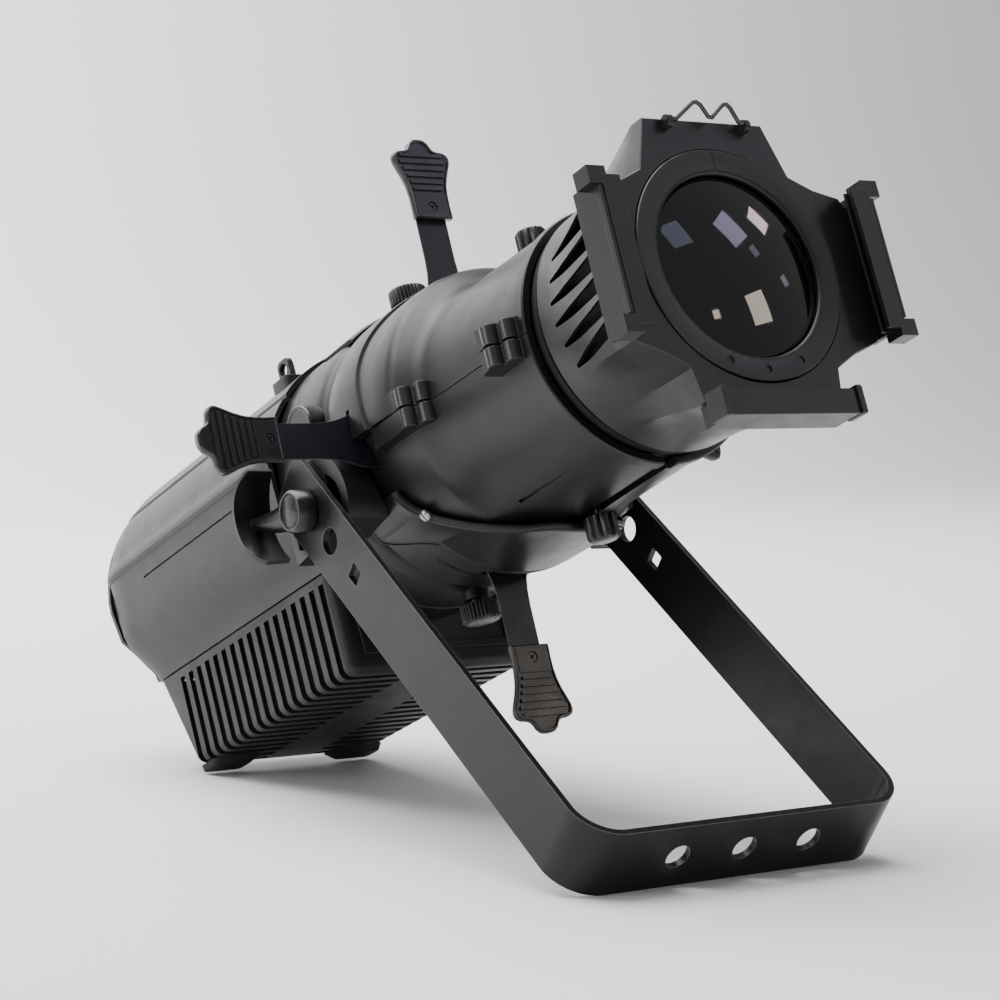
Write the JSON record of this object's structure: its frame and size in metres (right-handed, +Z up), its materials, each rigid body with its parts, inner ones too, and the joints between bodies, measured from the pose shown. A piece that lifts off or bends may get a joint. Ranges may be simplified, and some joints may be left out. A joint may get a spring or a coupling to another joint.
{
  "type": "ellipsoidal spotlight",
  "caption": "Ellipsoidal stage spotlight with LED engine, rotating barrel, framing shutters, sliding lens tube, colour-frame rails and a tilting yoke.",
  "frame": {"origin": "on the floor under the middle of the whole spotlight as it rests on its yoke bar and rear feet", "axes": "+Z up, the beam leaves towards -Y and upwards, +X to the side"},
  "size_m": [0.45, 0.746, 0.4943],
  "materials": {
    "satin_black_casting": "die cast, satin black powder coat",
    "satin_black_steel": "steel strip, satin black powder coat",
    "black_plastic": "satin moulded plastic",
    "shutter_steel": "blackened steel sheet",
    "bare_aluminium": "as extruded",
    "plain_steel": "plain",
    "lens_glass": "polished, dark coated reflections",
    "circuit_board": "solder mask",
    "rubber": "matt",
    "display": "gloss"
  },
  "bodies": {
    "engine": {"rear_housing": "satin_black_casting", "swivel_collar": "satin_black_casting", "vent_box": "satin_black_casting", "foot_left": "rubber", "foot_right": "rubber", "rear_cover": "satin_black_casting", "display_window": "display", "power_inlet": "black_plastic", "data_inlet": "black_plastic", "data_outlet": "black_plastic", "led_module": "circuit_board", "lens_holder": "satin_black_casting", "condenser_lens": "lens_glass", "heatsink": "bare_aluminium", "fan_frame": "black_plastic", "power_supply": "bare_aluminium", "control_board": "circuit_board", "pivot_bracket_left": "satin_black_casting", "pivot_bracket_right": "satin_black_casting", "pivot_washer_left": "rubber", "pivot_washer_right": "rubber", "barrel_jaw": "satin_black_casting"},
    "fan": {"fan_rotor": "black_plastic"},
    "yoke": {"yoke": "satin_black_steel"},
    "barrel": {"barrel_upper": "satin_black_casting", "barrel_lower": "satin_black_casting", "gate_plate_rear": "plain_steel", "gate_plate_front": "plain_steel", "swivel_ring": "plain_steel"},
    "lens_tube": {"lens_tube": "satin_black_casting", "front_head": "satin_black_casting", "frame_rail_left": "satin_black_casting", "frame_rail_right": "satin_black_casting", "frame_rail_bottom": "satin_black_casting", "lens_ring": "satin_black_casting", "front_lens": "lens_glass", "rear_lens": "lens_glass"},
    "frame_clip": {"frame_clip": "plain_steel"},
    "shutter_top": {"shutter_top_blade": "shutter_steel", "shutter_top_handle": "black_plastic", "shutter_top_screw": "plain_steel"},
    "shutter_bottom": {"shutter_bottom_blade": "shutter_steel", "shutter_bottom_handle": "black_plastic", "shutter_bottom_screw": "plain_steel"},
    "shutter_left": {"shutter_left_blade": "shutter_steel", "shutter_left_handle": "black_plastic", "shutter_left_screw": "plain_steel"},
    "shutter_right": {"shutter_right_blade": "shutter_steel", "shutter_right_handle": "black_plastic", "shutter_right_screw": "plain_steel"},
    "rotation_knob_top": {"rotation_knob_top": "black_plastic"},
    "focus_knob_top": {"focus_knob_top": "black_plastic"},
    "rotation_knob_bottom": {"rotation_knob_bottom": "black_plastic"},
    "focus_knob_bottom": {"focus_knob_bottom": "black_plastic"},
    "tilt_handle_left": {"tilt_handle_left": "black_plastic"},
    "tilt_handle_right": {"tilt_handle_right": "black_plastic"},
    "menu_button_1": {"menu_button_1": "black_plastic"},
    "menu_button_2": {"menu_button_2": "black_plastic"},
    "menu_button_3": {"menu_button_3": "black_plastic"},
    "menu_button_4": {"menu_button_4": "black_plastic"}
  },
  "joints": [
    {"name": "yoke_tilt", "type": "hinge", "parent": "engine", "child": "yoke", "pos_m": [0.012, -0.01047, 0.22241], "axis": [1, 0, 0], "range_deg": [-18, 90]},
    {"name": "barrel_rotation", "type": "hinge", "parent": "engine", "child": "barrel", "pos_m": [0.012, 0.00301, 0.25439], "axis": [0, -0.9215, 0.3885], "range_deg": [-12, 12]},
    {"name": "lens_focus", "type": "slide", "parent": "barrel", "child": "lens_tube", "axis": [0, -0.9215, 0.3885], "range_m": [0, 0.06]},
    {"name": "shutter_top_slide", "type": "slide", "parent": "barrel", "child": "shutter_top", "axis": [0, -0.3885, -0.9215], "range_m": [0, 0.06]},
    {"name": "shutter_bottom_slide", "type": "slide", "parent": "barrel", "child": "shutter_bottom", "axis": [0, 0.3885, 0.9215], "range_m": [-0.02, 0.04]},
    {"name": "shutter_left_slide", "type": "slide", "parent": "barrel", "child": "shutter_left", "axis": [1, 0, 0], "range_m": [0, 0.06]},
    {"name": "shutter_right_slide", "type": "slide", "parent": "barrel", "child": "shutter_right", "axis": [-1, 0, 0], "range_m": [-0.024, 0.036]},
    {"name": "focus_knob_top_turn", "type": "hinge", "parent": "lens_tube", "child": "focus_knob_top", "pos_m": [0.012, -0.09403, 0.41034], "axis": [0, 0.3885, 0.9215], "range_deg": [-180, 180]},
    {"name": "focus_knob_bottom_turn", "type": "hinge", "parent": "lens_tube", "child": "focus_knob_bottom", "pos_m": [0.012, -0.17639, 0.21499], "axis": [0, 0.3885, 0.9215], "range_deg": [-180, 180]},
    {"name": "rotation_knob_top_turn", "type": "hinge", "parent": "engine", "child": "rotation_knob_top", "pos_m": [0.012, 0.06181, 0.37068], "axis": [0, 0.3885, 0.9215], "range_deg": [-180, 180]},
    {"name": "rotation_knob_bottom_turn", "type": "hinge", "parent": "engine", "child": "rotation_knob_bottom", "pos_m": [0.012, -0.03221, 0.14769], "axis": [0, 0.3885, 0.9215], "range_deg": [-180, 180]},
    {"name": "tilt_handle_left_turn", "type": "hinge", "parent": "engine", "child": "tilt_handle_left", "pos_m": [0.012, -0.01047, 0.22241], "axis": [-1, 0, 0], "range_deg": [-15, 75]},
    {"name": "tilt_handle_right_turn", "type": "hinge", "parent": "engine", "child": "tilt_handle_right", "pos_m": [0.012, -0.01047, 0.22241], "axis": [-1, 0, 0], "range_deg": [-15, 75]},
    {"name": "frame_clip_swing", "type": "hinge", "parent": "lens_tube", "child": "frame_clip", "pos_m": [0.012, -0.28393, 0.48117], "axis": [1, 0, 0], "range_deg": [-40, 75]},
    {"name": "fan_spin", "type": "hinge", "parent": "engine", "child": "fan", "pos_m": [0.012, 0.22897, 0.16998], "axis": [0, -0.9215, 0.3885], "continuous": true},
    {"name": "menu_button_1_press", "type": "slide", "parent": "engine", "child": "menu_button_1", "axis": [0, -0.9215, 0.3885], "range_m": [0, 0.001], "stiffness_N_per_m": 400, "springref_m": -0.0005},
    {"name": "menu_button_2_press", "type": "slide", "parent": "engine", "child": "menu_button_2", "axis": [0, -0.9215, 0.3885], "range_m": [0, 0.001], "stiffness_N_per_m": 400, "springref_m": -0.0005},
    {"name": "menu_button_3_press", "type": "slide", "parent": "engine", "child": "menu_button_3", "axis": [0, -0.9215, 0.3885], "range_m": [0, 0.001], "stiffness_N_per_m": 400, "springref_m": -0.0005},
    {"name": "menu_button_4_press", "type": "slide", "parent": "engine", "child": "menu_button_4", "axis": [0, -0.9215, 0.3885], "range_m": [0, 0.001], "stiffness_N_per_m": 400, "springref_m": -0.0005}
  ]
}
